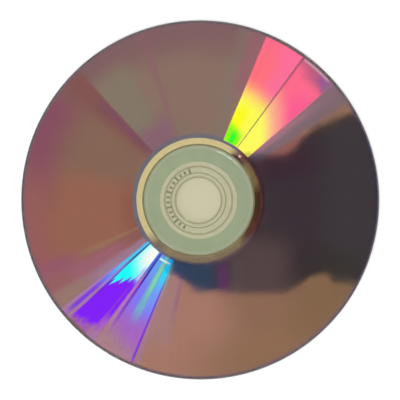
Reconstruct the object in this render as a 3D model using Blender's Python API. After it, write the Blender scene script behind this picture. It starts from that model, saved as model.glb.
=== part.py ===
# Recordable optical disc, 120 mm across, lying on its label side with the read-out side up.
# Two clear moulded halves are bonded face to face round a dye coat and a mirror coat, and the
# outside of the lower half is printed. Every piece is turned about the spindle axis, +Z.
# The origin is the centre of the hole, on the printed face that the disc rests on.

import math

import bmesh
import bpy

# Driving dimensions, in metres
MM = 0.001

DISC_RADIUS = 60.0 * MM
HOLE_RADIUS = 7.5 * MM
DISC_THICKNESS = 1.2 * MM  # over both halves, the bond and the print, without the stacking ring

PRINT_THICKNESS = 0.02 * MM
PRINT_INNER = 13.0 * MM
PRINT_SETBACK = 1.0 * MM  # bare plastic between the print and the rim

BOND_THICKNESS = 0.05 * MM
BOND_INNER = 13.0 * MM
BOND_SETBACK = 0.3 * MM  # how far the resin stays inside the rim, which leaves a fine open seam

# The two coats are far thinner on a real disc, about a ten-thousandth of a millimetre each
METAL_THICKNESS = 0.02 * MM
METAL_GAP = 0.5 * MM  # clear plastic between the stacking ring and the mirror coat
METAL_SETBACK = 0.5 * MM  # clear plastic between the mirror coat and the rim
DYE_THICKNESS = 0.02 * MM
DYE_MARGIN = 2.0 * MM  # bare mirror inside the dye, the bright band round the hub
DYE_SETBACK = 0.4 * MM  # bare mirror outside the dye
COAT_CLEARANCE = 0.05 * MM  # round each coat's edges, so that only flat faces touch

STACK_RING_RADIUS = 17.9 * MM  # middle of the ridge that keeps stacked discs apart
STACK_RING_WIDTH = 1.0 * MM
STACK_RING_FLANK = 0.3 * MM
STACK_RING_HEIGHT = 0.2 * MM

HOLDER_GROOVE_RADIUS = 11.35 * MM  # left by the ring that holds the stamper in the mould
HOLDER_GROOVE_WIDTH = 0.7 * MM
HOLDER_GROOVE_DEPTH = 0.06 * MM
GATE_GROOVE_RADIUS = 9.2 * MM  # left round the gate, where the plastic enters the mould
GATE_GROOVE_WIDTH = 0.4 * MM
GATE_GROOVE_DEPTH = 0.03 * MM
GROOVE_FLANK = 0.1 * MM

HOLE_ROUND = 0.1 * MM
RIM_ROUND = 0.18 * MM
SEAM_CHAMFER = 0.05 * MM
HOLE_ROUND_STEPS = 2
RIM_ROUND_STEPS = 3

TURN_STEPS = 96  # facets round each piece
SHARP_ANGLE = math.radians(25)

# Heights of the stack, from the printed face up
LABEL_BOTTOM = PRINT_THICKNESS
HALF_THICKNESS = (DISC_THICKNESS - PRINT_THICKNESS - BOND_THICKNESS) / 2
LABEL_TOP = LABEL_BOTTOM + HALF_THICKNESS
READOUT_BOTTOM = LABEL_TOP + BOND_THICKNESS
METAL_TOP = READOUT_BOTTOM + METAL_THICKNESS
DYE_TOP = METAL_TOP + DYE_THICKNESS
READOUT_TOP = DISC_THICKNESS

PRINT_OUTER = DISC_RADIUS - PRINT_SETBACK
BOND_OUTER = DISC_RADIUS - BOND_SETBACK
METAL_INNER = STACK_RING_RADIUS + STACK_RING_WIDTH / 2 + METAL_GAP
METAL_OUTER = DISC_RADIUS - METAL_SETBACK
DYE_INNER = METAL_INNER + DYE_MARGIN
DYE_OUTER = METAL_OUTER - DYE_SETBACK


def eased_edge(radius, height, material_out, material_up, size, steps):
    # A quarter round on a corner of the profile, from the upright wall to the flat face.
    # material_out and material_up are +1 or -1: where the plastic lies, seen from the corner.
    centre_radius = radius + material_out * size
    centre_height = height + material_up * size
    points = []
    for step in range(steps + 1):
        angle = math.pi / 2 * step / steps
        points.append((
            centre_radius - material_out * size * math.cos(angle),
            centre_height - material_up * size * math.sin(angle),
        ))
    return points


def ring_step(middle, width, flank, face, rise):
    # A flat-topped ridge, or with a negative rise a groove, in a flat face, from the hub outwards.
    inner = middle - width / 2
    outer = middle + width / 2
    return [
        (inner, face),
        (inner + flank, face + rise),
        (outer - flank, face + rise),
        (outer, face),
    ]


def coat_profile(inner, outer, bottom, top):
    return [(inner, top), (outer, top), (outer, bottom), (inner, bottom)]


def coat_pocket():
    # The stepped recess in the inner face of the read-out half, from the rim inwards: the wide
    # step seats the mirror coat and the deeper one seats the dye above it.
    metal_outer = METAL_OUTER + COAT_CLEARANCE
    metal_inner = METAL_INNER - COAT_CLEARANCE
    dye_outer = DYE_OUTER + COAT_CLEARANCE
    dye_inner = DYE_INNER - COAT_CLEARANCE
    return [
        (metal_outer, READOUT_BOTTOM),
        (metal_outer, METAL_TOP),
        (dye_outer, METAL_TOP),
        (dye_outer, DYE_TOP),
        (dye_inner, DYE_TOP),
        (dye_inner, METAL_TOP),
        (metal_inner, METAL_TOP),
        (metal_inner, READOUT_BOTTOM),
    ]


def readout_profile():
    hole_top = eased_edge(HOLE_RADIUS, READOUT_TOP, 1, -1, HOLE_ROUND, HOLE_ROUND_STEPS)
    rim_top = eased_edge(DISC_RADIUS, READOUT_TOP, -1, -1, RIM_ROUND, RIM_ROUND_STEPS)
    rim_seam = eased_edge(DISC_RADIUS, READOUT_BOTTOM, -1, 1, SEAM_CHAMFER, 1)
    hole_seam = eased_edge(HOLE_RADIUS, READOUT_BOTTOM, 1, 1, SEAM_CHAMFER, 1)
    gate = ring_step(
        GATE_GROOVE_RADIUS, GATE_GROOVE_WIDTH, GROOVE_FLANK, READOUT_TOP, -GATE_GROOVE_DEPTH
    )
    holder = ring_step(
        HOLDER_GROOVE_RADIUS, HOLDER_GROOVE_WIDTH, GROOVE_FLANK, READOUT_TOP, -HOLDER_GROOVE_DEPTH
    )
    stack = ring_step(
        STACK_RING_RADIUS, STACK_RING_WIDTH, STACK_RING_FLANK, READOUT_TOP, STACK_RING_HEIGHT
    )
    face = hole_top + gate + holder + stack + rim_top[::-1]
    return face + rim_seam + coat_pocket() + hole_seam[::-1]


def label_profile():
    hole_seam = eased_edge(HOLE_RADIUS, LABEL_TOP, 1, -1, SEAM_CHAMFER, 1)
    rim_seam = eased_edge(DISC_RADIUS, LABEL_TOP, -1, -1, SEAM_CHAMFER, 1)
    rim_bottom = eased_edge(DISC_RADIUS, LABEL_BOTTOM, -1, 1, RIM_ROUND, RIM_ROUND_STEPS)
    hole_bottom = eased_edge(HOLE_RADIUS, LABEL_BOTTOM, 1, 1, HOLE_ROUND, HOLE_ROUND_STEPS)
    gate = ring_step(
        GATE_GROOVE_RADIUS, GATE_GROOVE_WIDTH, GROOVE_FLANK, LABEL_BOTTOM, GATE_GROOVE_DEPTH
    )
    return hole_seam + rim_seam[::-1] + rim_bottom + gate[::-1] + hole_bottom[::-1]


def new_material(name, color, roughness, metallic=0.0, transmission=0.0, ior=1.5):
    material = bpy.data.materials.new(name)
    material.use_nodes = True
    shader = material.node_tree.nodes["Principled BSDF"]
    shader.inputs["Base Color"].default_value = (*color, 1.0)
    shader.inputs["Roughness"].default_value = roughness
    shader.inputs["Metallic"].default_value = metallic
    shader.inputs["Transmission Weight"].default_value = transmission
    shader.inputs["IOR"].default_value = ior
    material.diffuse_color = (*color, 1.0)
    return material


def turned_piece(name, profile, material, spindle):
    # Turns a closed profile of (radius, height) points once round the spindle axis.
    shape = bmesh.new()
    corners = [shape.verts.new((radius, 0.0, height)) for radius, height in profile]
    for corner, following in zip(corners, corners[1:] + corners[:1]):
        shape.edges.new((corner, following))
    bmesh.ops.spin(
        shape,
        geom=shape.verts[:] + shape.edges[:],
        cent=(0.0, 0.0, 0.0),
        axis=(0.0, 0.0, 1.0),
        angle=math.tau,
        steps=TURN_STEPS,
        use_merge=True,
    )
    bmesh.ops.recalc_face_normals(shape, faces=shape.faces[:])
    mesh = bpy.data.meshes.new(name)
    shape.to_mesh(mesh)
    shape.free()
    mesh.shade_smooth()
    mesh.set_sharp_from_angle(angle=SHARP_ANGLE)
    mesh.materials.append(material)
    piece = bpy.data.objects.new(name, mesh)
    piece.parent = spindle
    bpy.context.scene.collection.objects.link(piece)
    return piece


def main():
    for old in list(bpy.data.objects):
        bpy.data.objects.remove(old, do_unlink=True)

    spindle = bpy.data.objects.new("spindle_axis", None)
    spindle.empty_display_size = HOLE_RADIUS
    bpy.context.scene.collection.objects.link(spindle)

    readout_plastic = new_material(
        "clear polycarbonate, read-out half", (0.86, 0.83, 0.70), 0.04, transmission=1.0, ior=1.585
    )
    label_plastic = new_material(
        "clear polycarbonate, label half", (0.86, 0.83, 0.70), 0.08, transmission=1.0, ior=1.585
    )
    resin = new_material("cured bonding resin", (0.88, 0.86, 0.74), 0.1, transmission=1.0)
    dye = new_material("purple-brown recording dye", (0.27, 0.12, 0.12), 0.15, metallic=0.8)
    mirror = new_material("sputtered mirror coat", (0.62, 0.50, 0.24), 0.08, metallic=1.0)
    ink = new_material("pale green printing ink", (0.34, 0.41, 0.27), 0.5)

    turned_piece("readout_half", readout_profile(), readout_plastic, spindle)
    turned_piece("dye_layer", coat_profile(DYE_INNER, DYE_OUTER, METAL_TOP, DYE_TOP), dye, spindle)
    turned_piece(
        "metal_layer",
        coat_profile(METAL_INNER, METAL_OUTER, READOUT_BOTTOM, METAL_TOP),
        mirror,
        spindle,
    )
    turned_piece(
        "bond_layer",
        coat_profile(BOND_INNER, BOND_OUTER, LABEL_TOP, READOUT_BOTTOM),
        resin,
        spindle,
    )
    turned_piece("label_half", label_profile(), label_plastic, spindle)
    turned_piece(
        "label_print",
        coat_profile(PRINT_INNER, PRINT_OUTER, 0.0, LABEL_BOTTOM),
        ink,
        spindle,
    )


main()
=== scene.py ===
# A recordable optical disc, 120 mm across, read-out side up, seen from nearly straight above
import math

import bpy
from mathutils import Matrix, Vector


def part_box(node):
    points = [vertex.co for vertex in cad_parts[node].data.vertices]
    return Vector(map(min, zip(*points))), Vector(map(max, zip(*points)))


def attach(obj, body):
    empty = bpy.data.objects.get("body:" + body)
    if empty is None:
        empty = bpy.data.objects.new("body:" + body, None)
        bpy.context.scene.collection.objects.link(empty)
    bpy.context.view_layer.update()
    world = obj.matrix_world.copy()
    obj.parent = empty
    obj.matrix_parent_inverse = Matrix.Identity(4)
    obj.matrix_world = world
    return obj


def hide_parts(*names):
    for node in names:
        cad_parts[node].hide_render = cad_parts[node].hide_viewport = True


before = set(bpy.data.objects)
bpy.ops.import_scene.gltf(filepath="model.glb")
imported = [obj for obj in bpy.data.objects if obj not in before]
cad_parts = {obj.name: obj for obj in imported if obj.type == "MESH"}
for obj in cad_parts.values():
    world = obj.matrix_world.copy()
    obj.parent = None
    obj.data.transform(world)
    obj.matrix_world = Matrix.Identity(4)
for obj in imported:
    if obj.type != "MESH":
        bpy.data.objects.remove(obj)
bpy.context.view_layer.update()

mm = 0.001

# Where the solids are: radii and heights in metres, read from the frame
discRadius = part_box("readout_half")[1].x
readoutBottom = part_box("readout_half")[0].z
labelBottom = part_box("label_half")[0].z
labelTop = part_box("label_half")[1].z
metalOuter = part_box("metal_layer")[1].x
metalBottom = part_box("metal_layer")[0].z
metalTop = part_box("metal_layer")[1].z
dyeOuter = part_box("dye_layer")[1].x
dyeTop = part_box("dye_layer")[1].z
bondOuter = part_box("bond_layer")[1].x
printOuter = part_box("label_print")[1].x
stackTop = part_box("readout_half")[1].z

# What a box can't tell, in metres
holeRadius = 7.5 * mm
bondInner = 13.0 * mm
metalInner = 18.9 * mm
dyeInner = 20.9 * mm
readoutTop = 1.2 * mm  # without the stacking ring

# How the pieces are turned and rounded
turnSteps = 288  # facets round the spindle axis
roundSteps = 5  # facets over each rounded corner
smoothAngle = 28  # degrees: edges sharper than this stay sharp
holdSpan = 2  # plain points hold the faces flat at this many times the round's size,
holdRoom = 4.2  # on edges that are longer than this many times that size
samePlace = 0.001 * mm  # points nearer than this are one point
filmGap = 0.003 * mm  # between a coat and its plastic, so that no two faces coincide

noiseSpan = (0.3, 0.7)  # where most of a noise texture's values lie


def linearColour(hexCode):
    # an sRGB hex value as linear red, green, blue and alpha
    channels = [int(hexCode[place:place + 2], 16) / 255 for place in (1, 3, 5)]
    return [c / 12.92 if c <= 0.04045 else ((c + 0.055) / 1.055) ** 2.4 for c in channels] + [1.0]


def addNode(tree, kind, settings=None, sockets=None):
    # adds a node, sets its options, and gives each input a value or a link; returns the node
    node = tree.nodes.new(kind)
    for option, value in (settings or {}).items():
        setattr(node, option, value)
    for place, value in (sockets or {}).items():
        if isinstance(value, bpy.types.NodeSocket):
            tree.links.new(value, node.inputs[place])
        else:
            node.inputs[place].default_value = value
    return node


def newMaterial(name):
    material = bpy.data.materials.new(name)
    material.use_nodes = True
    material.node_tree.nodes.clear()
    return material


def giveSurface(material, shader):
    tree = material.node_tree
    addNode(tree, "ShaderNodeOutputMaterial", sockets={"Surface": shader.outputs[0]})


# Modelling with Blender's own tools

def startPoint(name, radius, height):
    # a plane merged to one point in the upright XZ plane, where a section starts
    bpy.ops.object.select_all(action="DESELECT")
    bpy.ops.mesh.primitive_plane_add(size=1 * mm, location=(radius, 0, height))
    piece = bpy.context.active_object
    piece.name = name
    piece.data.name = name
    bpy.ops.object.transform_apply(location=True, rotation=False, scale=False)
    bpy.ops.object.mode_set(mode="EDIT")
    bpy.ops.mesh.select_all(action="SELECT")
    bpy.ops.mesh.merge(type="CENTER")
    return piece


def pickPoints(piece, places):
    # selects the section's points that stand at these places, in edit mode
    bpy.ops.mesh.select_all(action="DESELECT")
    bpy.ops.object.mode_set(mode="OBJECT")
    for point in piece.data.vertices:
        point.select = any((point.co - place).length < samePlace for place in places)
    bpy.ops.object.mode_set(mode="EDIT")


def holdFlat(corners):
    # Adds plain points beside the rounded corners, where there is room, so that smooth shading
    # stays in the round and the long faces reflect as flat ones.
    held = []
    for corner, following in zip(corners, corners[1:] + corners[:1]):
        start, end = Vector(corner[:2]), Vector(following[:2])
        length = (end - start).length
        held.append(corner)
        if corner[2] and length > holdRoom * corner[2]:
            held.append((*start.lerp(end, holdSpan * corner[2] / length), 0))
        if following[2] and length > holdRoom * following[2]:
            held.append((*end.lerp(start, holdSpan * following[2] / length), 0))
    return held


def turnSection(name, corners):
    # Draws a closed section of (radius, height, round) corners by extruding a point from corner
    # to corner, rounds the corners that ask for it, and spins it round the spindle axis.
    corners = holdFlat(corners)
    places = [Vector((radius, 0, height)) for radius, height, _ in corners]
    piece = startPoint(name, *corners[0][:2])
    for before, after in zip(places, places[1:]):
        bpy.ops.mesh.extrude_region_move(TRANSFORM_OT_translate={"value": after - before})
    pickPoints(piece, [places[0], places[-1]])
    bpy.ops.mesh.edge_face_add()
    for size in sorted({size for _, _, size in corners if size}):
        pickPoints(piece, [place for place, corner in zip(places, corners) if corner[2] == size])
        bpy.ops.mesh.bevel(offset=size, segments=roundSteps, affect="VERTICES")
    bpy.ops.mesh.select_all(action="SELECT")
    bpy.ops.mesh.spin(steps=turnSteps, angle=math.tau, center=(0, 0, 0), axis=(0, 0, 1))
    bpy.ops.mesh.select_all(action="SELECT")
    bpy.ops.mesh.normals_make_consistent(inside=False)
    bpy.ops.object.mode_set(mode="OBJECT")
    bpy.ops.object.shade_smooth_by_angle(angle=math.radians(smoothAngle))
    return piece


def finishPiece(piece, materials, slotName, *replacedNodes):
    for material in materials:
        piece.data.materials.append(material)
    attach(piece, "root")
    if replacedNodes:
        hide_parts(*replacedNodes)


def giveFaces(piece, slot, low, high, inner, outer):
    # the faces between two heights and two radii take another of the piece's materials
    for face in piece.data.polygons:
        radius = math.hypot(face.center.x, face.center.y)
        if low <= face.center.z <= high and inner < radius < outer:
            face.material_index = slot


# Camera: nearly overhead, tipped a little to the right
cameraView = {
    "tip": 5.0,  # degrees from straight above
    "toward": 12.7,  # degrees from +X to which it tips
    "distance": 570 * mm,
    "lens": 153.2,  # millimetres, on a sensor of this width
    "sensor": 36,
    "clipStart": 10 * mm,
    "aim": (0.5 * mm, 0.1 * mm, 0.6 * mm),
}


def placeCamera(view):
    tip, toward = math.radians(view["tip"]), math.radians(view["toward"])
    back = Vector((
        math.sin(tip) * math.cos(toward), math.sin(tip) * math.sin(toward), math.cos(tip)
    ))
    right = Vector((0, 1, 0)).cross(back).normalized()
    up = back.cross(right)
    camera = bpy.data.objects.new("camera", bpy.data.cameras.new("camera"))
    bpy.context.scene.collection.objects.link(camera)
    camera.data.lens = view["lens"]
    camera.data.sensor_width = view["sensor"]
    camera.data.clip_start = view["clipStart"]
    turn = Matrix((right, up, back)).transposed().to_4x4()
    camera.matrix_world = Matrix.Translation(Vector(view["aim"]) + back * view["distance"]) @ turn
    bpy.context.scene.camera = camera
    return camera.matrix_world.translation.copy()


eye = placeCamera(cameraView)
bpy.context.scene.view_settings.view_transform = "Standard"
print("camera placed")


# Polar coordinates for the patterns on the coats

def polarPlace(tree):
    # radius in millimetres and angle in degrees from +X, read from Object coordinates
    place = addNode(tree, "ShaderNodeTexCoord")
    parts = addNode(tree, "ShaderNodeSeparateXYZ", sockets={0: place.outputs["Object"]})
    flat = addNode(tree, "ShaderNodeCombineXYZ", sockets={0: parts.outputs[0], 1: parts.outputs[1]})
    length = addNode(
        tree, "ShaderNodeVectorMath", {"operation": "LENGTH"}, {0: flat.outputs[0]}
    )
    radius = addNode(
        tree, "ShaderNodeMath", {"operation": "DIVIDE"}, {0: length.outputs["Value"], 1: mm}
    )
    turn = addNode(
        tree, "ShaderNodeMath", {"operation": "ARCTAN2"}, {0: parts.outputs[1], 1: parts.outputs[0]}
    )
    degrees = addNode(tree, "ShaderNodeMath", {"operation": "DEGREES"}, {0: turn.outputs[0]})
    angle = addNode(
        tree, "ShaderNodeMath", {"operation": "WRAP"}, {0: degrees.outputs[0], 1: 360.0, 2: 0.0}
    )
    return radius.outputs[0], angle.outputs[0]


def between(tree, value, low, high, lowEdge, highEdge, farValue=None):
    # 1 between low and high, falling softly to 0 over an edge centred on each; the high limit
    # may be held against a value of its own. A smooth step stays from 0 to 1 by itself, and with
    # clamps besides, the dye's many wedges would overfill its shader.
    step = {"interpolation_type": "SMOOTHSTEP", "clamp": False}
    rise = addNode(tree, "ShaderNodeMapRange", step, {
        "Value": value, "From Min": low - lowEdge / 2, "From Max": low + lowEdge / 2,
    })
    fall = addNode(tree, "ShaderNodeMapRange", step, {
        "Value": farValue or value,
        "From Min": high - highEdge / 2, "From Max": high + highEdge / 2,
        "To Min": 1.0, "To Max": 0.0,
    })
    return addNode(
        tree, "ShaderNodeMath", {"operation": "MULTIPLY"}, {0: rise.outputs[0], 1: fall.outputs[0]}
    ).outputs[0]


def mottle(tree, size, low, high, detail=2.0, place=None):
    # soft noise whose blotches are about this many metres across, as a value from low to high
    if place is None:
        place = addNode(tree, "ShaderNodeTexCoord").outputs["Object"]
    noise = addNode(tree, "ShaderNodeTexNoise", sockets={
        "Vector": place, "Scale": 1 / size, "Detail": detail,
    })
    level = addNode(tree, "ShaderNodeMapRange", sockets={
        "Value": noise.outputs[0], "From Min": noiseSpan[0], "From Max": noiseSpan[1],
        "To Min": low, "To Max": high,
    })
    return level.outputs[0]


def shade(tree, colour, *levels):
    # multiplies a colour by one or more grey levels
    for level in levels:
        colour = addNode(tree, "ShaderNodeMix", {"data_type": "RGBA", "blend_type": "MULTIPLY"}, {
            "Factor": 1.0, 6: colour, 7: level,
        }).outputs[2]
    return colour


def unevenness(tree, size, depth):
    # a normal tilted by soft noise, with blotches about this many metres across and this deep
    height = mottle(tree, size, 0.0, 1.0)
    return addNode(
        tree, "ShaderNodeBump", sockets={"Height": height, "Distance": depth}
    ).outputs[0]


def angleRamp(tree, angle, arcs):
    # a colour that changes round the disc, from 0 to 360 degrees: arcs of one tone each, given by
    # start, end and seen colour, and from one arc to the next the tones blend
    part = addNode(tree, "ShaderNodeMath", {"operation": "DIVIDE"}, {0: angle, 1: 360.0})
    ramp = addNode(tree, "ShaderNodeValToRGB", sockets={0: part.outputs[0]})
    marks = ramp.color_ramp.elements
    ends = [(degrees, hexCode) for start, end, hexCode in arcs for degrees in (start, end)]
    marks[0].color, marks[1].color = coatColour(ends[0][1]), coatColour(ends[-1][1])
    for degrees, hexCode in ends[1:-1]:
        marks.new(degrees / 360).color = coatColour(hexCode)
    return ramp.outputs[0]


# A colour on a coat is given as it is seen through the plastic, and this takes out what the
# plastic does to it: its own reflection is added, and it lets a little less through
plasticView = {"reflection": 0.016, "clearness": 0.9}


def coatColour(hexCode):
    seen = linearColour(hexCode)[:3]
    bare = [(c - plasticView["reflection"]) / plasticView["clearness"] for c in seen]
    return [min(max(c, 0.0), 1.0) for c in bare] + [1.0]


def wedge(angles, edges, colour, radii=None, fades=None, **more):
    # The settings of one soft-edged wedge of colour: its two angles and how soft each edge is, in
    # degrees, and its two radii and how soft each end is, in millimetres. More may give its
    # strength, how its outer end climbs with the angle, and teeth or frays as pitch and depth.
    return {
        "angles": angles, "edges": edges, "colour": colour, "radii": radii, "fades": fades, **more
    }


def slopedRadius(tree, radius, angle, look):
    # a wedge's outer end may climb with the angle, and the groove's streaks may cut it into saw
    # teeth or fray it unevenly
    if "climb" in look:
        turn = addNode(tree, "ShaderNodeMath", {"operation": "SUBTRACT"}, {
            0: angle, 1: look["angles"][0],
        })
        radius = addNode(tree, "ShaderNodeMath", {"operation": "MULTIPLY_ADD"}, {
            0: turn.outputs[0], 1: -look["climb"], 2: radius,
        }).outputs[0]
    for pitch, depth in look.get("teeth", ()):
        turn = addNode(tree, "ShaderNodeMath", {"operation": "DIVIDE"}, {0: angle, 1: pitch})
        saw = addNode(tree, "ShaderNodeMath", {"operation": "FRACT"}, {0: turn.outputs[0]})
        radius = addNode(tree, "ShaderNodeMath", {"operation": "MULTIPLY_ADD"}, {
            0: saw.outputs[0], 1: depth, 2: radius,
        }).outputs[0]
    for pitch, depth in look.get("frays", ()):
        uneven = addNode(tree, "ShaderNodeTexNoise", {"noise_dimensions": "1D"}, {
            "W": angle, "Scale": 1 / pitch, "Detail": 1.0,
        })
        radius = addNode(tree, "ShaderNodeMath", {"operation": "MULTIPLY_ADD"}, {
            0: uneven.outputs[0], 1: depth, 2: radius,
        }).outputs[0]
    return radius


def paintWedge(tree, under, radius, angle, look):
    # lays one wedge of colour over the colour below
    mask = between(tree, angle, *look["angles"], *look["edges"])
    if look["radii"]:
        outward = slopedRadius(tree, radius, angle, look)
        ring = between(tree, radius, *look["radii"], *look["fades"], outward)
        mask = addNode(
            tree, "ShaderNodeMath", {"operation": "MULTIPLY"}, {0: mask, 1: ring}
        ).outputs[0]
    weak = addNode(
        tree, "ShaderNodeMath", {"operation": "MULTIPLY"}, {0: mask, 1: look.get("strength", 1.0)}
    )
    mix = addNode(tree, "ShaderNodeMix", {"data_type": "RGBA"}, {
        "Factor": weak.outputs[0], 6: under, 7: coatColour(look["colour"]),
    })
    return mix.outputs[2]


# What many wedges share, in millimetres and degrees
dataStart = 21.9  # where the written data starts
inside, outside = 20, 70  # short of the dye's inner edge, and past its rim
allRound = (-1, 361)

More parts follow.
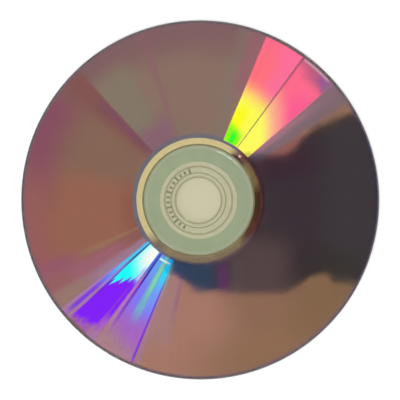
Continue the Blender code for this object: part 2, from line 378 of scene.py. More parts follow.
# Recording dye, a mirror-smooth purple-brown film: the fans its groove splits light into are
# painted reflection.
# A mottle is given by its size in metres, its low and high level, and if need be its detail.
dyeLook = {
    "base": "#8c6a5e",
    "metallic": 1.0,
    "roughness": (9 * mm, 0.02, 0.035),
    "streak": (0.012, 0.965, 1.035, 4.0),  # radial streaks, their size as a share of the radius
    "grain": (0.5 * mm, 0.985, 1.015),
    "waves": (4 * mm, 0.001 * mm),  # how uneven the film is: size and depth
    # painted reflection: soft fans of hue that the groove splits from the room's light
    "tints": [
        wedge((68, 133), (3, 1), "#867065"),
        wedge((68, 135), (3, 1), "#7f6063", (50, outside), (12, 1)),
        wedge((70, 77), (3, 3), "#82746c", strength=0.6),
        wedge((66, 73), (2, 5), "#90636c", (38, outside), (12, 1)),
        wedge((107.5, 110), (1.5, 2), "#875f69", strength=0.7),
        wedge((111, 133), (4, 1), "#846270", (inside, 31), (1, 8)),
        wedge((118, 132.5), (5, 1), "#827668", (30, 52), (7, 9)),
        wedge((133, 150), (0.5, 10), "#805553"),
        wedge((141, 176), (7, 18), "#836557"),
        wedge((168, 217), (16, 5), "#936353"),
        wedge((142, 180), (12, 24), "#844f62", (50, outside), (14, 1)),
        wedge((172, 205), (24, 4), "#935d5c", (52, outside), (10, 1)),
        wedge((133.3, 137), (0.6, 3), "#7a4e64", (24, 46), (6, 8), strength=0.8),
        wedge((170, 215), (20, 5), "#8b5a4c", (inside, 26), (1, 6)),
        wedge((203.5, 206), (1, 1), "#94785f", (inside, 44), (1, 8), strength=0.6),
        wedge((202, 211), (4, 4), "#93596c", (46, outside), (10, 1)),
        wedge((207, 219), (4, 3), "#976170"),
        wedge((207, 213), (3, 4), "#92605f", (50, outside), (6, 1), strength=0.8),
        wedge((206, 216), (4, 4), "#8a5c56", (inside, 29), (1, 10)),
        wedge((214, 219), (4, 1), "#97788c", (inside, 50), (1, 20)),
        wedge((213, 220), (2, 2), "#94756f", (46, outside), (8, 1)),
        wedge((248, 300), (1, 30), "#a2776a"),
        wedge((246, 249.6), (1, 3), "#a07892", (30, outside), (14, 1)),
        wedge((246, 249.4), (1, 2.5), "#8a9aa2", (inside, 34), (1, 18)),
        wedge((249.5, 258.5), (1, 3), "#a17a7b", (inside, 50), (1, 14)),
        wedge((256.5, 259), (1.5, 1.5), "#96697c", (24, 40), (4, 8), strength=0.7),
        wedge((285, 340), (24, 10), "#8a6856"),
        wedge((272, 340), (36, 10), "#8c6a54", (48, outside), (16, 1)),
        wedge((308, 340), (18, 10), "#80644c", (44, outside), (12, 1), strength=0.9),
        wedge((28, 36), (3, 4), "#8f6c55"),
        wedge((14, 33), (8, 4), "#8e5b57", (inside, 42), (1, 12)),
        wedge((33, 41.2), (4, 0.6), "#7f6873"),
        wedge((37.6, 41.2), (3, 0.6), "#a47785", (25, 48), (3, 30), strength=0.8),
    ],
    # the narrow bare-looking margin inside the data, browner on the right and below as painted
    # reflection of the dark card, and the same at the rim
    "margins": [
        wedge(allRound, (0.1, 0.1), "#6c6a78", (18, 22.3), (1, 1.2)),
        wedge((325, 361), (14, 0.1), "#76443a", (18, 22.3), (1, 1.2)),
        wedge((-1, 50), (0.1, 8), "#76443a", (18, 22.3), (1, 1.2)),
        wedge((246, 325), (10, 14), "#8a6a62", (18, 22.3), (1, 1.2)),
        wedge(allRound, (0.1, 0.1), "#7a686f", (58.9, 64), (1, 1), strength=0.7),
    ],
    # the strong warm fan, a painted reflection of bright light split by the groove: green at the
    # hub, then yellow, peach and pink, in two leaves
    "paintedWarmFan": [
        wedge((40.7, 67.4), (0.8, 0.5), "#fe6b8d", (dataStart, 59.1), (0.4, 0.9)),
        wedge((53.4, 62), (0.4, 6), "#fe6f9c", (40, 58.6), (8, 1)),
        wedge((41, 47), (0.5, 8), "#ff5f94", (30, 50), (6, 8)),
        wedge((59, 67.4), (8, 0.5), "#ff7080", (36, 55), (6, 14)),
        wedge((41, 53.4), (0.5, 0.4), "#ffb98c", (dataStart, 35.8), (0.4, 12), climb=0.6),
        wedge((41, 53.4), (0.5, 0.4), "#fffb60", (dataStart, 29.8), (0.4, 7.5), climb=0.6),
        wedge((53.4, 67.4), (0.4, 0.5), "#ffb878", (dataStart, 40.5), (0.4, 8), climb=0.1),
        wedge((53.4, 67.4), (0.4, 0.5), "#fffc55", (dataStart, 37.3), (0.4, 8), climb=0.12),
        wedge((60, 67.4), (5, 2), "#ffff18", (26, 34.5), (3, 6)),
        wedge((55.2, 67.4), (4, 0.5), "#86f400", (dataStart, 25.8), (0.4, 4), climb=0.2),
        wedge((59.3, 63.5), (2.5, 2.5), "#2bff2c", (dataStart, 25.8), (0.4, 3.5)),
        wedge((40.7, 50.5), (0.8, 7), "#b05a80", (54.3, 59.4), (6, 0.5), strength=0.9),
        wedge((41, 45.5), (1, 4), "#9a5896", (55.5, 59.4), (3.5, 0.5)),
        wedge((40.3, 42.3), (0.5, 1.4), "#8c688a", (54.5, 59.4), (3, 0.5), strength=0.9),
        wedge((46, 53.4), (3, 0.4), "#bb5f82", (56.5, 59.4), (3, 0.5), strength=0.8),
        # a pale line of painted highlight on the rounded rim
        wedge((42.5, 52.8), (2.5, 0.5), "#bca4b0", (58.3, 59.1), (0.6, 0.4), strength=0.75),
        wedge((53.15, 53.85), (0.35, 0.35), "#7c5560", (dataStart, 59.4), (0.4, 0.4),
              strength=0.75),
    ],
    # the strong cold fan, a painted reflection of the same light split by the groove: white and
    # cyan at the hub, violet outwards, cut by dark written lines
    "paintedColdFan": [
        wedge((218.2, 222.4), (1, 0.4), "#a678bc", (34, 59), (8, 1.5), strength=0.85),
        wedge((218.2, 222.4), (1, 0.4), "#a27896", (53.5, 59), (6, 1.5), strength=0.9),
        wedge((219.4, 220.95), (0.8, 0.5), "#7a38de", (dataStart, 57), (0.5, 7), strength=0.9),
        wedge((219.1, 221.1), (1.2, 0.6), "#6482f0", (dataStart, 42.5), (0.5, 8)),
        wedge((219.1, 221.1), (1.2, 0.6), "#50c0ea", (dataStart, 37), (0.5, 8)),
        wedge((220.7, 221.9), (0.5, 0.4), "#9484e2", (31, 43), (8, 6), strength=0.9),
        wedge((221, 222.1), (0.5, 0.4), "#1f5f9b", (dataStart, 31), (0.5, 7)),
        wedge((222.2, 233.1), (0.5, 0.6), "#a45abe", (dataStart, 58.6), (0.5, 0.8),
              strength=0.75),
        wedge((222.2, 233.1), (0.5, 0.5), "#8000ff", (dataStart, 60.3), (0.5, 1.2),
              climb=-0.3, frays=[(0.45, 6.0)]),
        wedge((230.7, 233.3), (0.6, 0.5), "#a861c4", (50, 62), (6, 1), strength=0.95),
        wedge((229.6, 233.3), (1.6, 0.5), "#a4789c", (55, 62), (4, 1), strength=0.9),
        wedge((231, 231.7), (0.4, 0.4), "#9b46c8", (37, 56), (6, 2), strength=0.6),
        wedge((222.2, 233.1), (0.5, 0.5), "#00ffff", (dataStart, 42.5), (0.5, 1),
              climb=-0.8, teeth=[(2.9, 3.0), (0.9, 0.8)]),
        wedge((221.7, 222.4), (0.4, 0.4), "#3a66b0", (dataStart, 40), (0.5, 5), strength=0.7),
        wedge((222, 222.7), (0.3, 0.4), "#5a1cc8", (36, 48), (4, 8), strength=0.7),
        wedge((222.4, 233.1), (0.6, 0.5), "#b4fffc", (dataStart, 28.8), (0.5, 8),
              climb=0.45, teeth=[(1.3, 0.8)]),
        wedge((225, 232.8), (3.5, 0.5), "#f0ffff", (dataStart, 26.8), (0.5, 8), climb=0.35),
        wedge((231, 233.1), (0.8, 0.5), "#b4b4f8", (29, 34), (3, 2), strength=0.8),
        wedge((233.1, 234.8), (0.5, 0.5), "#466edc", (dataStart, 34), (0.5, 10)),
        wedge((233.4, 247.6), (0.5, 0.6), "#a8808f", (30, 62), (6, 1), strength=0.9),
        wedge((233.4, 235), (0.5, 0.6), "#b472d0", (32, 48), (5, 12), strength=0.9),
        wedge((234.7, 247.3), (0.6, 0.5), "#a262c6", (dataStart, 51), (0.5, 10),
              climb=0.4, strength=0.9),
        wedge((235.6, 247.3), (0.5, 0.5), "#7d78f5", (dataStart, 44), (0.5, 12), strength=0.95),
        wedge((235.8, 247.3), (0.6, 0.5), "#62a8ea", (dataStart, 31), (0.5, 12), strength=0.9),
        wedge((243, 247.3), (2.5, 0.5), "#6e9cf4", (dataStart, 40), (0.5, 14), strength=0.9),
        wedge((243.5, 247.5), (2, 0.5), "#26d2f2", (dataStart, 31), (0.5, 9)),
        wedge((239.8, 243.2), (2, 2), "#6fb4c3", (dataStart, 44), (0.5, 9), strength=0.85),
        wedge((240.4, 242.8), (1.6, 1.6), "#84d6a0", (dataStart, 35), (3, 9), strength=0.8),
        wedge((234.7, 235.8), (0.5, 0.5), "#6c1cd0", (dataStart, 44), (0.5, 16), strength=0.85),
        wedge((234.9, 235.8), (0.5, 0.5), "#1e14a0", (dataStart, 35), (0.5, 8)),
        wedge((235.1, 235.9), (0.5, 0.5), "#7a34b4", (36, 50), (6, 12), strength=0.7),
        wedge((247.1, 247.9), (0.4, 0.4), "#7a28cc", (30, 59), (12, 6), strength=0.9),
        # a painted glint: a thin white arc close to the hub
        wedge((236.5, 246), (2, 3), "#e6ffff", (23.1, 23.8), (0.5, 0.5), strength=0.8),
    ],
}


def dyeMaterial(look):
    material = newMaterial("recording dye on sputtered silver")
    tree = material.node_tree
    radius, angle = polarPlace(tree)
    base = addNode(tree, "ShaderNodeRGB")
    base.outputs[0].default_value = coatColour(look["base"])
    colour = base.outputs[0]
    # painted reflection: the fans and tones of split and mirrored light are laid into the base
    # colour
    for part in look["tints"] + look["margins"] + look["paintedWarmFan"] + look["paintedColdFan"]:
        colour = paintWedge(tree, colour, radius, angle, part)
    place = addNode(tree, "ShaderNodeTexCoord")
    outward = addNode(
        tree, "ShaderNodeVectorMath", {"operation": "NORMALIZE"}, {0: place.outputs["Object"]}
    )
    streak = mottle(tree, *look["streak"], place=outward.outputs[0])
    shader = addNode(tree, "ShaderNodeBsdfPrincipled", sockets={
        "Base Color": shade(tree, colour, streak, mottle(tree, *look["grain"])),
        "Metallic": look["metallic"], "Roughness": mottle(tree, *look["roughness"]),
        "Normal": unevenness(tree, *look["waves"]),
    })
    giveSurface(material, shader)
    return material


# Mirror coat, sputtered silver seen through yellowish resin and plastic: an amber mirror
mirrorLook = {
    "metallic": 1.0,
    "roughness": (3 * mm, 0.04, 0.07),
    "blotch": (2 * mm, 0.98, 1.02),
    "rings": (0.95, 1.03),  # fine concentric rings left by spin coating: low and high level,
    "ringsPerMm": 3.0,  # how many to a millimetre,
    "ringDetail": 2.0,
    "ringDepth": 0.0003 * mm,  # and how deep
    # painted reflection of what it mirrors: the dark card on the right, bright surroundings from
    # the top to the left, and a dimmer side below, painted into its colour as arcs of one tone each
    "paintedReflection": [
        (0, 7, "#543424"), (17, 33, "#86754f"), (42, 49, "#725449"), (58, 211, "#c9bb8d"),
        (228, 230, "#76675a"), (239, 313, "#948063"), (326, 333, "#684132"),
        (342, 360, "#543424"),
    ],
    "tints": [
        # painted shade and a painted glint by the stacking ring: a dark smear at the upper right, a
        # small pink glint in it; then a greyer tone towards the rim
        wedge((40, 53), (3, 3), "#3e3230", (18, 19.5), (0.3, 0.3)),
        wedge((45.5, 48), (1, 1), "#e4b6c0", (19.8, 20.6), (0.2, 0.2)),
        wedge(allRound, (0.1, 0.1), "#78606c", (40, 64), (1, 1)),
    ],
}


def mirrorMaterial(look):
    material = newMaterial("sputtered silver mirror")
    tree = material.node_tree
    radius, angle = polarPlace(tree)
    # the tones it mirrors round the disc are painted into the colour: painted reflection
    colour = angleRamp(tree, angle, look["paintedReflection"])
    for part in look["tints"]:
        colour = paintWedge(tree, colour, radius, angle, part)
    rings = addNode(tree, "ShaderNodeTexNoise", {"noise_dimensions": "1D"}, {
        "W": radius, "Scale": look["ringsPerMm"], "Detail": look["ringDetail"],
    })
    level = addNode(tree, "ShaderNodeMapRange", sockets={
        "Value": rings.outputs[0], "From Min": noiseSpan[0], "From Max": noiseSpan[1],
        "To Min": look["rings"][0], "To Max": look["rings"][1],
    })
    relief = addNode(tree, "ShaderNodeBump", sockets={
        "Height": rings.outputs[0], "Distance": look["ringDepth"],
    })
    shader = addNode(tree, "ShaderNodeBsdfPrincipled", sockets={
        "Base Color": shade(tree, colour, level.outputs[0], mottle(tree, *look["blotch"])),
        "Metallic": look["metallic"], "Roughness": mottle(tree, *look["roughness"]),
        "Normal": relief.outputs[0],
    })
    giveSurface(material, shader)
    return material


# Clear injection-moulded polycarbonate, polished by the mould: faintly warm, sharp reflections
plasticLook = {
    "colour": "#fefdf8",
    "tone": (12 * mm, 0.985, 1.0),
    "roughness": (6 * mm, 0.012, 0.03, 3.0),
    "waves": (7 * mm, 0.001 * mm),
    "ior": 1.585,
}


def plasticMaterial(look):
    material = newMaterial("clear moulded polycarbonate")
    tree = material.node_tree
    colour = addNode(tree, "ShaderNodeRGB")
    colour.outputs[0].default_value = linearColour(look["colour"])
    shader = addNode(tree, "ShaderNodeBsdfPrincipled", sockets={
        "Base Color": shade(tree, colour.outputs[0], mottle(tree, *look["tone"])),
        "Roughness": mottle(tree, *look["roughness"]),
        "IOR": look["ior"], "Transmission Weight": 1.0,
        "Normal": unevenness(tree, *look["waves"]),
    })
    giveSurface(material, shader)
    return material


# The moulded marks are left matt by the turned steel of the mould, and look a little grey
mattLook = {
    "colour": "#d4cfb8",
    "tickColour": "#a8a48e",
    "tone": (0.5 * mm, 0.9, 1.0),
    "roughness": (0.4 * mm, 0.28, 0.42),
    "grain": (0.12 * mm, 0.002 * mm),
    "ior": 1.585,
}


def mattMaterial(name, hexCode, look):
    material = newMaterial(name)
    tree = material.node_tree
    colour = addNode(tree, "ShaderNodeRGB")
    colour.outputs[0].default_value = linearColour(hexCode)
    shader = addNode(tree, "ShaderNodeBsdfPrincipled", sockets={
        "Base Color": shade(tree, colour.outputs[0], mottle(tree, *look["tone"])),
        "Roughness": mottle(tree, *look["roughness"]),
        "IOR": look["ior"], "Transmission Weight": 1.0,
        "Normal": unevenness(tree, *look["grain"]),
    })
    giveSurface(material, shader)
    return material


# A face wetted by resin or ink neither bends light nor mirrors it
def bondedMaterial():
    material = newMaterial("polycarbonate face wetted by resin")
    shader = addNode(
        material.node_tree, "ShaderNodeBsdfTransparent", sockets={"Color": (1, 1, 1, 1)}
    )
    giveSurface(material, shader)
    return material


# Ultraviolet-cured bonding resin: clear, with a breath of yellow. It bends light as the plastic
# on both sides does, so seen from inside that plastic it doesn't bend it at all: an IOR of 1.
resinLook = {"colour": "#fcfbf3", "tone": (5 * mm, 0.97, 1.0), "ior": 1.0}


def resinMaterial(look):
    material = newMaterial("cured bonding resin")
    tree = material.node_tree
    colour = addNode(tree, "ShaderNodeRGB")
    colour.outputs[0].default_value = linearColour(look["colour"])
    shader = addNode(tree, "ShaderNodeBsdfPrincipled", sockets={
        "Base Color": shade(tree, colour.outputs[0], mottle(tree, *look["tone"])),
        "Roughness": 0.0, "IOR": look["ior"], "Transmission Weight": 1.0,
    })
    giveSurface(material, shader)
    return material


# Screen-printed ink, a matt pale green ground
inkLook = {
    "colour": "#def7d8",
    "fleck": (0.4 * mm, 0.97, 1.0),
    "cloud": (7 * mm, 0.97, 1.0),
    "roughness": (1.5 * mm, 0.42, 0.58),
    "grain": (0.25 * mm, 0.004 * mm),  # the screen's mesh is about half as fine
    # rings under the stacking ring, painted into the ink: a light one as a painted glint of the
    # ring's inner flank, a dark one as painted shade at the mirror's inner edge; two radii in
    # millimetres, and the colour
    "rings": [(17.3, 17.95, "#f2ffee"), (18.15, 18.9, "#bbb069")],
    "ringEdge": 0.25,
}


def inkMaterial(look):
    material = newMaterial("pale green screen-printing ink")
    tree = material.node_tree
    radius, _ = polarPlace(tree)
    base = addNode(tree, "ShaderNodeRGB")
    base.outputs[0].default_value = linearColour(look["colour"])
    colour = base.outputs[0]
    # painted glint and painted shade: the light and the dark ring under the stacking ring
    for inner, outer, hexCode in look["rings"]:
        mask = between(tree, radius, inner, outer, look["ringEdge"], look["ringEdge"])
        colour = addNode(tree, "ShaderNodeMix", {"data_type": "RGBA"}, {
            "Factor": mask, 6: colour, 7: linearColour(hexCode),
        }).outputs[2]
    fleck, cloud = mottle(tree, *look["fleck"]), mottle(tree, *look["cloud"])
    shader = addNode(tree, "ShaderNodeBsdfPrincipled", sockets={
        "Base Color": shade(tree, colour, fleck, cloud),
        "Roughness": mottle(tree, *look["roughness"]),
        "Normal": unevenness(tree, *look["grain"]),
    })
    giveSurface(material, shader)
    return material


clearPlastic = plasticMaterial(plasticLook)
mattPlastic = mattMaterial("polycarbonate matt from the mould", mattLook["colour"], mattLook)
bondedFace = bondedMaterial()

# Read-out half: the moulded hub rings and the stacking ring are on its upper face
readoutHalf = {
    "holeRound": 0.3 * mm,
    "rimRound": 0.18 * mm,
    "seam": 0.05 * mm,
    "gateGroove": (9.0 * mm, 9.4 * mm, 0.03 * mm),  # inner and outer radius, depth
    "holderGroove": (11.0 * mm, 11.7 * mm, 0.06 * mm),
    "grooveFlank": 0.1 * mm,
    "grooveRound": 0.03 * mm,
    "stackRing": (17.4 * mm, 18.4 * mm),
    "stackFlank": 0.3 * mm,
    "stackRound": 0.08 * mm,
    "pocketRoom": 0.05 * mm,  # round the coats' edges
}


def grooveCorners(inner, outer, face, rise, flank, size):
    # a ridge on a flat face, or with a negative rise a groove, from the hub outwards
    return [
        (inner, face, size), (inner + flank, face + rise, size),
        (outer - flank, face + rise, size), (outer, face, size),
    ]


def makeReadoutHalf(half):
    gateInner, gateOuter, gateDepth = half["gateGroove"]
    holderInner, holderOuter, holderDepth = half["holderGroove"]
    flank, soft = half["grooveFlank"], half["grooveRound"]
    room = half["pocketRoom"]
    corners = [(holeRadius, readoutTop, half["holeRound"])]
    corners += grooveCorners(gateInner, gateOuter, readoutTop, -gateDepth, flank, soft)
    corners += grooveCorners(holderInner, holderOuter, readoutTop, -holderDepth, flank, soft)
    corners += grooveCorners(
        *half["stackRing"], readoutTop, stackTop - readoutTop,
        half["stackFlank"], half["stackRound"],
    )
    corners += [
        (discRadius, readoutTop, half["rimRound"]),
        (discRadius, readoutBottom, half["seam"]),
        (bondOuter, readoutBottom, 0),
        (metalOuter + room, readoutBottom, 0),
        (metalOuter + room, metalTop, 0),
        (dyeOuter + room, metalTop, 0),
        (dyeOuter + room, dyeTop, 0),
        (dyeInner - room, dyeTop, 0),
        (dyeInner - room, metalTop, 0),
        (metalInner - room, metalTop, 0),
        (metalInner - room, readoutBottom, 0),
        (bondInner, readoutBottom, 0),
        (holeRadius, readoutBottom, half["seam"]),
    ]
    piece = turnSection("readout_half_moulding", corners)
    finishPiece(piece, [clearPlastic, bondedFace, mattPlastic], "readout_plastic", "readout_half")
    giveFaces(piece, 1, readoutBottom - filmGap, dyeTop + filmGap, bondInner, bondOuter)
    for inner, outer, depth in (half["gateGroove"], half["holderGroove"]):
        giveFaces(piece, 2, readoutTop - depth - filmGap, readoutTop - filmGap, inner, outer)
    giveFaces(piece, 2, readoutBottom, readoutTop + filmGap, 0, holeRadius + 2 * half["holeRound"])


makeReadoutHalf(readoutHalf)
print("read-out half turned")

# Ticks moulded in relief on the inner face of the hub, frosted at their sides, so they look grey
hubTicks = {
    "count": 15,
    "from": 107.0,  # degrees
    "to": 242.0,
    "middle": 10.15 * mm,
    "width": 0.62 * mm,
    "longEvery": 3,
    "longReach": 0.85 * mm,  # half the length of every third tick
    "shortReach": 0.6 * mm,
    "height": 0.03 * mm,
    "edge": 0.006 * mm,
    "edgeSteps": 2,
}


def modelTick(name, reach, ticks):
    # one bar with eased edges, at its radius on the hub and in line with +X
    top = readoutBottom - filmGap
    bpy.ops.object.select_all(action="DESELECT")
    bpy.ops.mesh.primitive_cube_add(
        size=1, location=(ticks["middle"], 0, top - ticks["height"] / 2)
    )
    tick = bpy.context.active_object
    tick.name = name
    tick.scale = (2 * reach, ticks["width"], ticks["height"])
    bpy.ops.object.transform_apply(location=True, rotation=False, scale=True)
    bpy.ops.object.mode_set(mode="EDIT")
    bpy.ops.mesh.select_all(action="SELECT")
    bpy.ops.mesh.bevel(offset=ticks["edge"], segments=ticks["edgeSteps"], affect="EDGES")
    bpy.ops.object.mode_set(mode="OBJECT")
    return tick


def makeHubTicks(ticks):
    # copies the long and the short tick round the spindle axis, and joins them into one piece
    longTick = modelTick("long_tick", ticks["longReach"], ticks)
    shortTick = modelTick("short_tick", ticks["shortReach"], ticks)
    step = (ticks["to"] - ticks["from"]) / (ticks["count"] - 1)
    row = []
    for place in range(ticks["count"]):
        model = shortTick if place % ticks["longEvery"] else longTick
        tick = model.copy()
        tick.data = model.data.copy()
        tick.rotation_euler.z = math.radians(ticks["from"] + place * step)
        bpy.context.scene.collection.objects.link(tick)
        row.append(tick)
    for model in (longTick, shortTick):
        bpy.data.meshes.remove(model.data)  # the object goes with its mesh
    bpy.ops.object.select_all(action="DESELECT")
    for tick in row:
        tick.select_set(True)
    bpy.context.view_layer.objects.active = row[0]
    bpy.ops.object.transform_apply(location=False, rotation=True, scale=False)
    bpy.ops.object.join()
    row[0].name = row[0].data.name = "hub_ticks"
    tickPlastic = mattMaterial("frosted polycarbonate relief", mattLook["tickColour"], mattLook)
    finishPiece(row[0], [tickPlastic], "readout_plastic")


makeHubTicks(hubTicks)
print("hub ticks set")

# Label half: plain, with the gate's groove under the hub
labelHalf = {
    "holeRound": 0.12 * mm,
    "rimRound": 0.18 * mm,
    "seam": 0.05 * mm,
    "gateGroove": (9.0 * mm, 9.4 * mm, 0.03 * mm),
    "grooveFlank": 0.1 * mm,
    "grooveRound": 0.03 * mm,
}


def makeLabelHalf(half):
    gateInner, gateOuter, gateDepth = half["gateGroove"]
    gate = grooveCorners(
        gateInner, gateOuter, labelBottom, gateDepth, half["grooveFlank"], half["grooveRound"]
    )
    corners = [(holeRadius, labelBottom, half["holeRound"])] + gate + [
        (bondInner, labelBottom, 0),
        (printOuter, labelBottom, 0),
        (discRadius, labelBottom, half["rimRound"]),
        (discRadius, labelTop, half["seam"]),
        (bondOuter, labelTop, 0),
        (bondInner, labelTop, 0),
        (holeRadius, labelTop, half["seam"]),
    ]
    piece = turnSection("label_half_moulding", corners)
    finishPiece(piece, [clearPlastic, bondedFace, mattPlastic], "label_plastic", "label_half")
    giveFaces(piece, 1, labelTop - filmGap, labelTop + filmGap, bondInner, bondOuter)
    giveFaces(
        piece, 2, labelBottom + filmGap, labelBottom + gateDepth + filmGap, gateInner, gateOuter
    )


makeLabelHalf(labelHalf)
print("label half turned")


def makeFilm(name, inner, outer, bottom, top, material, slotName, node):
    # a thin film, clear of the faces above and below it by the film gap
    low, high = bottom + filmGap, top - filmGap
    corners = [(inner, low, 0), (outer, low, 0), (outer, high, 0), (inner, high, 0)]
    piece = turnSection(name, corners)
    finishPiece(piece, [material], slotName, node)


makeFilm("dye_coat", dyeInner, dyeOuter, metalTop, dyeTop, dyeMaterial(dyeLook),
         "recording_dye", "dye_layer")
makeFilm("mirror_coat", metalInner, metalOuter, metalBottom, metalTop, mirrorMaterial(mirrorLook),
         "mirror_coat", "metal_layer")
makeFilm("resin_bond", bondInner, bondOuter, labelTop, readoutBottom, resinMaterial(resinLook),
         "bonding_resin", "bond_layer")
makeFilm("ink_print", bondInner, printOuter, 0, labelBottom, inkMaterial(inkLook),
         "printing_ink", "label_print")
print("coats, bond and print made")

# Floor: white, with a round of warm grey under the disc that shows through the hole
floorLook = {
    "half": 6.0,
    "drop": 0.02 * mm,
    "colour": "#e8e8e8",
    "under": "#877b75",
    "underRadius": 56.0,  # millimetres
    "underEdge": 1.0,  # how soft it is to each side
    "rimShadow": (57.5, 60.2, 0.5, 0.4),  # the dark line under the rim: radii, and soft edges
    "shadowColour": "#3a3036",
    "glow": "#a9a9a9",  # light that the camera's rays see besides, which brings the floor to white
    "underGlow": "#a4a684",  # the same, under the disc
}


def makeFloor(look):
    bpy.ops.object.select_all(action="DESELECT")
    bpy.ops.mesh.primitive_plane_add(size=2 * look["half"], location=(0, 0, -look["drop"]))
    floor = bpy.context.active_object
    floor.name = "floor"
    material = newMaterial("matt white studio floor")
    tree = material.node_tree
    radius, _ = polarPlace(tree)
    side = addNode(tree, "ShaderNodeMapRange", sockets={
        "Value": radius, "From Min": look["underRadius"] - look["underEdge"],
        "From Max": look["underRadius"] + look["underEdge"],
    })
    rim = between(tree, radius, *look["rimShadow"])
    tones = []
    for inner, outer in ((look["under"], look["colour"]), (look["underGlow"], look["glow"])):
        flat = addNode(tree, "ShaderNodeMix", {"data_type": "RGBA"}, {
            "Factor": side.outputs[0], 6: linearColour(inner), 7: linearColour(outer),
        })
        tones.append(addNode(tree, "ShaderNodeMix", {"data_type": "RGBA"}, {
            "Factor": rim, 6: flat.outputs[2], 7: linearColour(look["shadowColour"]),
        }))
    cloth = addNode(tree, "ShaderNodeBsdfDiffuse", sockets={"Color": tones[0].outputs[2]})
    rays = addNode(tree, "ShaderNodeLightPath")
    direct = addNode(tree, "ShaderNodeMath", {"operation": "MAXIMUM"}, {
        0: rays.outputs["Is Camera Ray"], 1: rays.outputs["Is Glossy Ray"],
    })
    seen = addNode(tree, "ShaderNodeMath", {"operation": "MAXIMUM"}, {
        0: direct.outputs[0], 1: rays.outputs["Is Transmission Ray"],
    })
    glow = addNode(tree, "ShaderNodeEmission", sockets={
        "Color": tones[1].outputs[2], "Strength": seen.outputs[0],
    })
    both = addNode(tree, "ShaderNodeAddShader", sockets={0: cloth.outputs[0], 1: glow.outputs[0]})
    place = addNode(tree, "ShaderNodeNewGeometry")
    clear = addNode(tree, "ShaderNodeBsdfTransparent")
    surface = addNode(tree, "ShaderNodeMixShader", sockets={
        0: place.outputs["Backfacing"], 1: both.outputs[0], 2: clear.outputs[0],
    })
    giveSurface(material, surface)
    floor.data.materials.append(material)
    floor.visible_diffuse = False
    floor.visible_shadow = False


makeFloor(floorLook)

# Soft light from all round, brightest overhead, and white to the camera
skyLook = {
    "overhead": 1.3,
    "horizon": 0.5,
    "below": 0.85,
    "lowest": -0.3,  # how far down, as a share of straight down, the light from below starts
    "sheen": 0.3,  # share that the disc's outer surface mirrors, as through a polarising filter
}


def makeSky(look):
    world = bpy.data.worlds.new("soft studio light")
    bpy.context.scene.world = world
    world.use_nodes = True
    tree = world.node_tree
    tree.nodes.clear()
    place = addNode(tree, "ShaderNodeTexCoord")
    parts = addNode(tree, "ShaderNodeSeparateXYZ", sockets={0: place.outputs["Generated"]})
    above = addNode(tree, "ShaderNodeMapRange", sockets={
        "Value": parts.outputs[2], "From Min": 0.0, "From Max": 1.0,
        "To Min": look["horizon"], "To Max": look["overhead"],
    })
    under = addNode(tree, "ShaderNodeMapRange", sockets={
        "Value": parts.outputs[2], "From Min": look["lowest"], "From Max": 0.0,
        "To Min": look["below"], "To Max": look["horizon"],
    })
    upper = addNode(tree, "ShaderNodeMath", {"operation": "GREATER_THAN"}, {
        0: parts.outputs[2], 1: 0.0,
    })
    level = addNode(tree, "ShaderNodeMix", {"data_type": "FLOAT"}, {
        "Factor": upper.outputs[0], 2: under.outputs[0], 3: above.outputs[0],
    })
    rays = addNode(tree, "ShaderNodeLightPath")
    notThrough = addNode(tree, "ShaderNodeMath", {"operation": "SUBTRACT"}, {
        0: 1.0, 1: rays.outputs["Is Transmission Ray"],
    })
    mirrored = addNode(tree, "ShaderNodeMath", {"operation": "MULTIPLY"}, {
        0: rays.outputs["Is Glossy Ray"], 1: notThrough.outputs[0],
    })
    share = addNode(tree, "ShaderNodeMapRange", sockets={
        "Value": mirrored.outputs[0], "To Min": 1.0, "To Max": look["sheen"],
    })
    lit = addNode(tree, "ShaderNodeMath", {"operation": "MULTIPLY"}, {
        0: level.outputs[0], 1: share.outputs[0],
    })
    strength = addNode(tree, "ShaderNodeMix", {"data_type": "FLOAT"}, {
        "Factor": rays.outputs["Is Camera Ray"], 2: lit.outputs[0], 3: 1.0,
    })
    light = addNode(tree, "ShaderNodeBackground", sockets={"Strength": strength.outputs[0]})
    addNode(tree, "ShaderNodeOutputWorld", sockets={"Surface": light.outputs[0]})


makeSky(skyLook)

# A dark card over the scene, which the coats mirror on the right of the disc, soft at its edges.
# Its place and size are given by where its reflection falls on the disc, in millimetres.
flagLook = {
    "height": 0.8,
    "middle": (35.0, 3.0),
    "half": 48.0,
    "left": -10.0,
    "bottom": -30.5,
    # how an edge climbs: from here, to there, by so much
    "bottomClimbs": [(27, 41.5, 6.5), (42.5, 45.5, -2.8), (0, -9, 6.0), (8, 14, -0.5)],
    "top": 15.0,
    "topClimbs": [(28, 40, 9.2), (36, 52, 4.8)],
    "edge": 2.5,
    "leftEdge": 5.0,
    "opening": 20.9,  # radius of a round opening over the hub, which stays light
    "openingEdge": 1.0,
    "far": 999.0,  # past the card on every side
    "colour": "#6a7490",
    # soft patches of other tones: left, right, bottom, top, edge, colour
    "patches": [
        (42, 200, -60, 60, 16, "#70829a"),
        (-60, 6, -60, -18, 5, "#4a84c4"),
        (6.5, 10.5, -40, -21, 3, "#9573e2"),
        (11, 17, -40, -19, 4, "#95a8c8"),
        (13, 30, -38, -13, 11, "#969cb6"),
    ],
}


def fromEdge(tree, parts, climbs):
    # the height on the disc, less what an edge of the card has climbed by there
    height = parts.outputs[1]
    for start, end, most in climbs:
        rise = addNode(tree, "ShaderNodeMapRange", {"interpolation_type": "SMOOTHSTEP"}, {
            "Value": parts.outputs[0], "From Min": start, "From Max": end,
            "To Min": 0.0, "To Max": most,
        })
        height = addNode(tree, "ShaderNodeMath", {"operation": "SUBTRACT"}, {
            0: height, 1: rise.outputs[0],
        }).outputs[0]
    return height


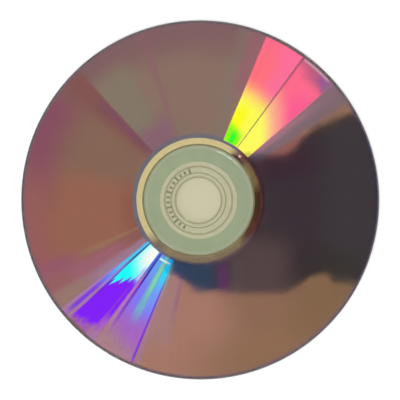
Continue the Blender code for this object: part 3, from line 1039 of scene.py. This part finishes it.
def makeFlag(look):
    growth = 1 + look["height"] / eye.z  # how much larger the card is than its reflection
    middle = Vector(look["middle"]) * mm
    place = middle * growth - Vector(eye[:2]) * (growth - 1)
    bpy.ops.object.select_all(action="DESELECT")
    bpy.ops.mesh.primitive_plane_add(
        size=2 * look["half"] * mm * growth, location=(place.x, place.y, look["height"])
    )
    flag = bpy.context.active_object
    flag.name = "dark_card"
    material = newMaterial("dark studio card with soft edges")
    tree = material.node_tree
    spot = addNode(tree, "ShaderNodeTexCoord")
    onDisc = addNode(tree, "ShaderNodeMapping", sockets={
        "Vector": spot.outputs["Object"], "Location": (*look["middle"], 0),
        "Scale": (1 / growth / mm, 1 / growth / mm, 1),
    })
    parts = addNode(tree, "ShaderNodeSeparateXYZ", sockets={0: onDisc.outputs[0]})
    edge, far = look["edge"], look["far"]
    atTop = fromEdge(tree, parts, look["topClimbs"])
    atBottom = fromEdge(tree, parts, look["bottomClimbs"])
    upper = between(tree, atTop, -far, look["top"], edge, edge)
    lower = between(tree, atBottom, look["bottom"], far, edge, edge)
    left = between(tree, parts.outputs[0], look["left"], far, look["leftEdge"], edge)
    flat = addNode(tree, "ShaderNodeCombineXYZ", sockets={0: parts.outputs[0], 1: parts.outputs[1]})
    fromHub = addNode(tree, "ShaderNodeVectorMath", {"operation": "LENGTH"}, {0: flat.outputs[0]})
    mask = between(
        tree, fromHub.outputs["Value"], look["opening"], far, look["openingEdge"], edge
    )
    for side in (upper, lower, left):
        mask = addNode(
            tree, "ShaderNodeMath", {"operation": "MULTIPLY"}, {0: mask, 1: side}
        ).outputs[0]
    base = addNode(tree, "ShaderNodeRGB")
    base.outputs[0].default_value = linearColour(look["colour"])
    tone = base.outputs[0]
    for low, high, bottom, top, soft, hexCode in look["patches"]:
        across = between(tree, parts.outputs[0], low, high, soft, soft)
        along = between(tree, parts.outputs[1], bottom, top, soft, soft)
        patch = addNode(tree, "ShaderNodeMath", {"operation": "MULTIPLY"}, {0: across, 1: along})
        tone = addNode(tree, "ShaderNodeMix", {"data_type": "RGBA"}, {
            "Factor": patch.outputs[0], 6: tone, 7: linearColour(hexCode),
        }).outputs[2]
    dark = addNode(tree, "ShaderNodeEmission", sockets={"Color": tone})
    clear = addNode(tree, "ShaderNodeBsdfTransparent")
    surface = addNode(tree, "ShaderNodeMixShader", sockets={
        0: mask, 1: clear.outputs[0], 2: dark.outputs[0],
    })
    giveSurface(material, surface)
    flag.data.materials.append(material)
    flag.visible_camera = False
    flag.visible_diffuse = False
    flag.visible_shadow = False


makeFlag(flagLook)

# A window-like lamp low on the left, which draws the glints on the moulded rings
windowLamp = {
    "azimuth": 232,  # degrees from +X
    "elevation": 25,
    "distance": 1.2,
    "width": 0.5,
    "height": 0.35,
    "power": 4.5,
}


def placeLamp(lamp):
    azimuth, elevation = math.radians(lamp["azimuth"]), math.radians(lamp["elevation"])
    away = Vector((
        math.cos(azimuth) * math.cos(elevation), math.sin(azimuth) * math.cos(elevation),
        math.sin(elevation),
    ))
    light = bpy.data.lights.new("window lamp", "AREA")
    light.shape = "RECTANGLE"
    light.size = lamp["width"]
    light.size_y = lamp["height"]
    light.energy = lamp["power"]
    holder = bpy.data.objects.new("window lamp", light)
    bpy.context.scene.collection.objects.link(holder)
    holder.location = away * lamp["distance"]
    holder.rotation_euler = away.to_track_quat("Z", "Y").to_euler()


placeLamp(windowLamp)
print("floor and light set")
